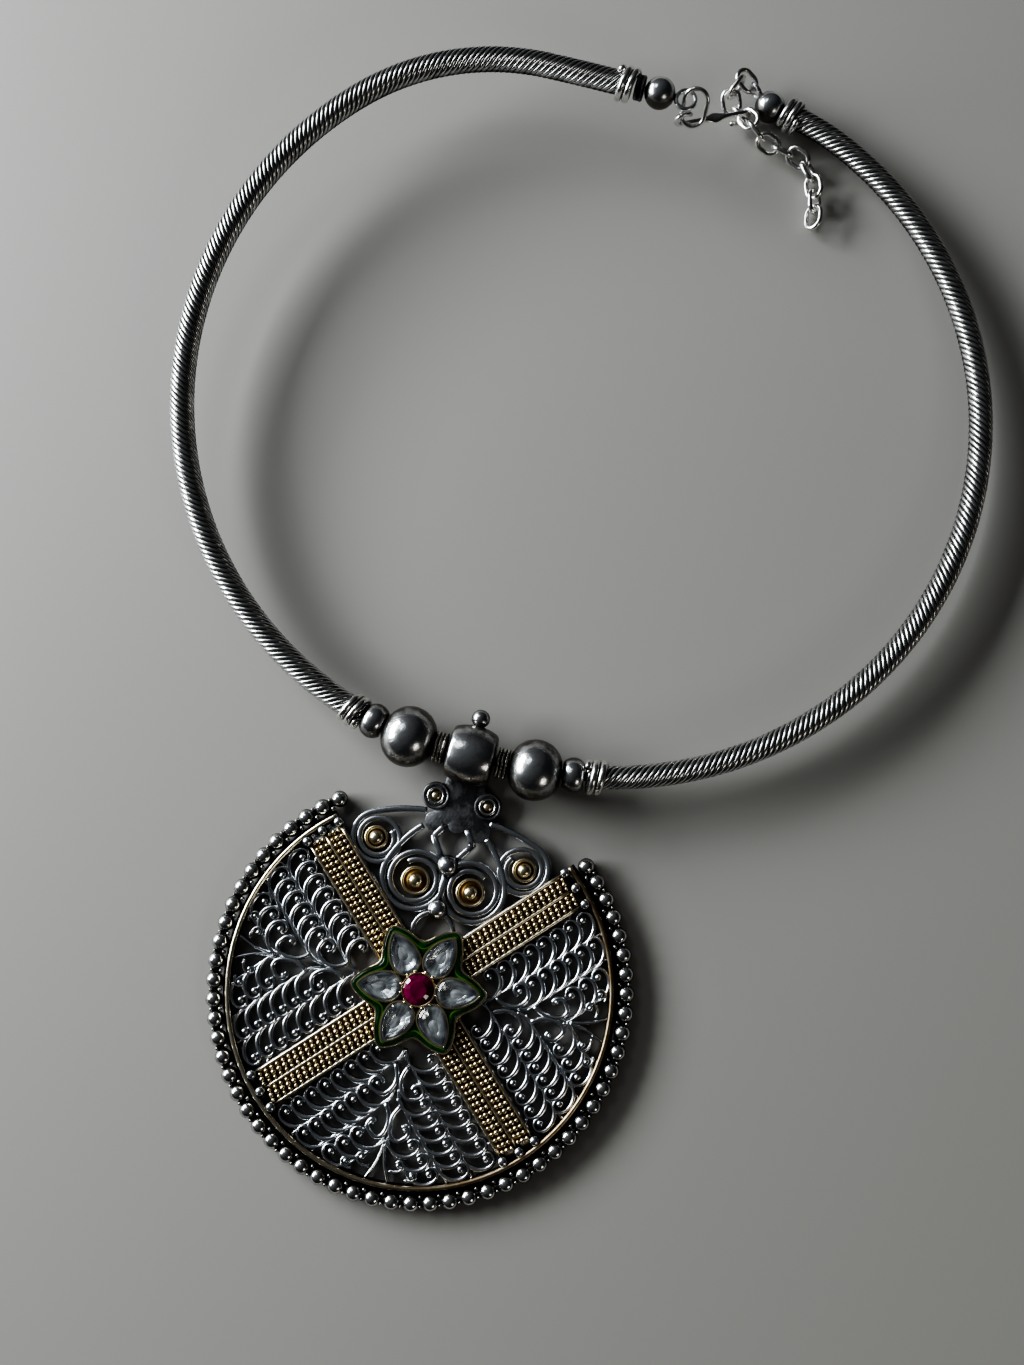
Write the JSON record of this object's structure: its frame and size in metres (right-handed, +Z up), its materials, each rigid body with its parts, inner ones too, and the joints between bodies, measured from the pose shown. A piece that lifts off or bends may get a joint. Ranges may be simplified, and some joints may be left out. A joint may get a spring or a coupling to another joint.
{
  "type": "hasli necklace",
  "caption": "Rigid rope wound neck ring with strung beads, a round granulated pendant on a barrel bail, and a hook and extension chain at the back.",
  "frame": {"origin": "middle of the bounding box, on the surface it lies on", "axes": "+Z up from the surface, +Y from the pendant towards the clasp, +X towards the chain side"},
  "size_m": [0.137, 0.2002, 0.0143],
  "materials": {
    "rope_silver": "oxidised rope winding with bright crests",
    "polished_silver": "polished with fine scratches",
    "dark_silver": "oxidised",
    "wire_silver": "bright drawn wire",
    "frame_silver": "antique silver, darkened in its recesses",
    "bead_silver": "burnished, darkened between beads",
    "gold": "pale gold, satin",
    "enamel_green": "glossy translucent enamel",
    "clear_stone": "cut and foil backed",
    "crimson_stone": "cut and polished"
  },
  "bodies": {
    "neck_ring": {"core_wire": "dark_silver", "tube_left": "rope_silver", "tube_right": "rope_silver", "coil_front_left": "wire_silver", "coil_front_right": "wire_silver", "coil_back_left": "wire_silver", "coil_back_right": "wire_silver", "big_bead_left": "polished_silver", "big_bead_right": "polished_silver", "small_bead_left": "polished_silver", "small_bead_right": "polished_silver", "spacer_left": "dark_silver", "spacer_right": "dark_silver", "collar_back_left": "dark_silver", "bead_back_left": "polished_silver", "bead_back_right": "polished_silver", "jump_ring": "wire_silver", "s_hook": "wire_silver", "extension_chain": "wire_silver"},
    "pendant": {"pendant_frame": "frame_silver", "border_beads": "bead_silver", "gold_rim": "gold", "gold_band_1": "gold", "gold_band_2": "gold", "gold_band_3": "gold", "gold_band_4": "gold", "gold_dome_small_left": "gold", "gold_dome_small_right": "gold", "gold_dome_large_left": "gold", "gold_dome_large_right": "gold", "eyelet_studs": "gold", "flower_setting": "gold", "flower_enamel": "enamel_green", "ruby": "crimson_stone", "pear_stone_1": "clear_stone", "pear_stone_2": "clear_stone", "pear_stone_3": "clear_stone", "pear_stone_4": "clear_stone", "pear_stone_5": "clear_stone", "pear_stone_6": "clear_stone"}
  },
  "joints": [
    {"name": "pendant_swing", "type": "hinge", "parent": "neck_ring", "child": "pendant", "pos_m": [-0.00294, -0.02732, 0.005], "axis": [-1, 0, 0], "continuous": true}
  ]
}
